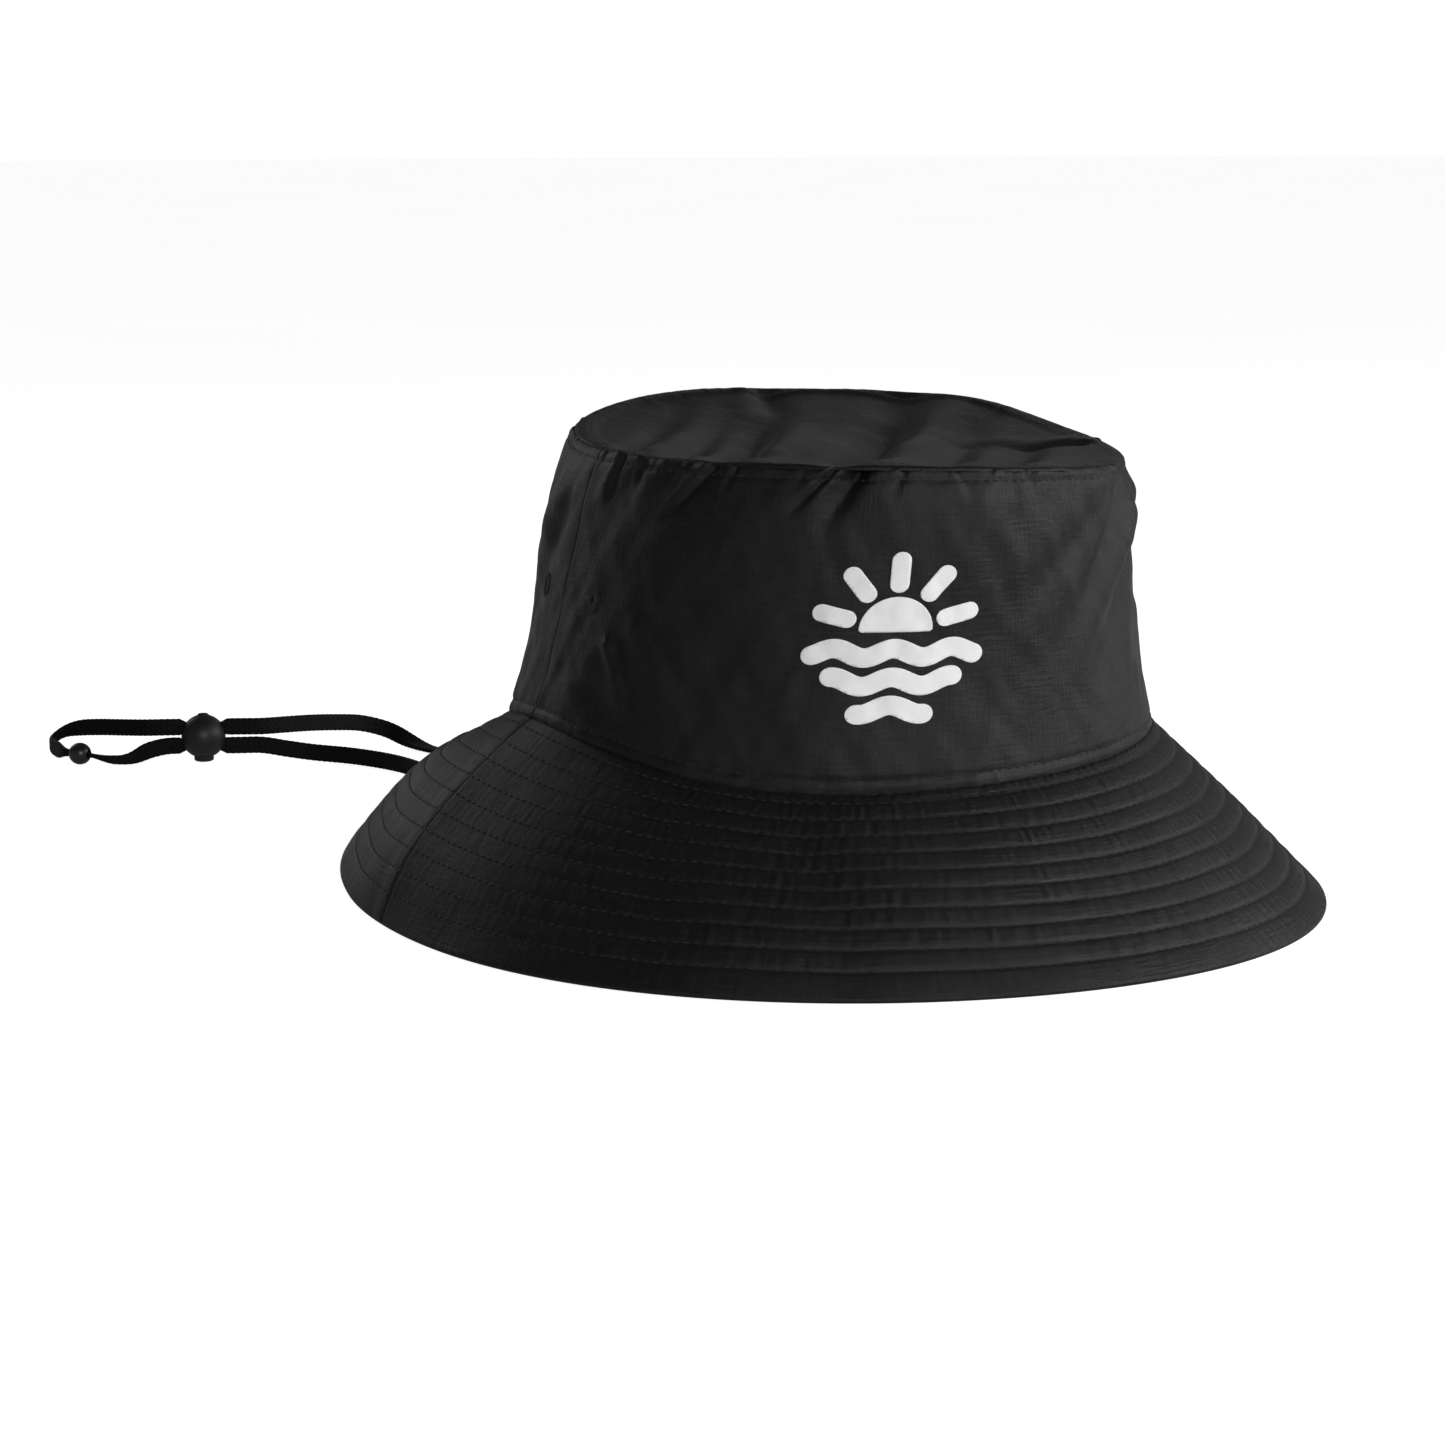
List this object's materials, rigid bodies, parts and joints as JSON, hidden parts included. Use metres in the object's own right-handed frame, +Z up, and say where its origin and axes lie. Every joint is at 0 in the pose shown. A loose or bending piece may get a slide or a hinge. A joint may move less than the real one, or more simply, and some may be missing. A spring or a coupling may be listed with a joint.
{
  "type": "bucket hat",
  "caption": "Wide-brim cloth bucket hat with a quilted brim, sewn eyelets and a chin cord that runs through a spring cord lock and an end bead.",
  "frame": {"origin": "on the table, under the middle of the hat without its chin cord", "axes": "+Z up; the front of the hat faces -Y; +X is the wearer's left"},
  "size_m": [0.3141, 0.4785, 0.1438],
  "materials": {
    "shell_fabric": "fine plain-weave black nylon with a slight sheen",
    "underbrim_fabric": "black nylon, the same cloth as the shell",
    "interlining": "stiff felted interlining, hidden inside the brim",
    "sweatband_fabric": "black matt cotton tape",
    "seam_tape": "black woven binding tape",
    "eyelet_thread": "black satin stitch",
    "label_fabric": "blank woven label",
    "cord_lace": "black flat braided lace",
    "lock_plastic": "satin black moulded plastic",
    "bead_plastic": "black moulded plastic, slightly glossy",
    "spring_steel": "spring steel wire",
    "print_white": "flat white screen print"
  },
  "bodies": {
    "root": {"crown_tip": "shell_fabric", "crown_side_front": "shell_fabric", "crown_side_back": "shell_fabric", "brim_top_front": "shell_fabric", "brim_top_back": "shell_fabric", "brim_interlining": "interlining", "brim_under_front": "underbrim_fabric", "brim_under_back": "underbrim_fabric", "sweatband": "sweatband_fabric", "tip_seam_tape": "seam_tape", "side_seam_tape_left": "seam_tape", "side_seam_tape_right": "seam_tape", "eyelet_left_back": "eyelet_thread", "eyelet_left_front": "eyelet_thread", "eyelet_right_back": "eyelet_thread", "eyelet_right_front": "eyelet_thread", "cord_tab_left": "seam_tape", "cord_tab_right": "seam_tape", "size_label": "label_fabric", "chin_cord": "cord_lace", "cord_bead": "bead_plastic"},
    "cord_lock": {"cord_lock_body": "lock_plastic", "cord_lock_spring": "spring_steel"},
    "lock_plunger": {"cord_lock_plunger": "lock_plastic"}
  },
  "joints": [
    {"name": "lock_slide", "type": "slide", "parent": "root", "child": "cord_lock", "axis": [0.9397, -0.342, 0], "range_m": [-0.004, 0.012]},
    {"name": "lock_press", "type": "slide", "parent": "cord_lock", "child": "lock_plunger", "axis": [0, 0, 1], "range_m": [0, 0.001], "stiffness_N_per_m": 600, "springref_m": -0.004, "deforming": ["cord_lock_spring"]}
  ]
}
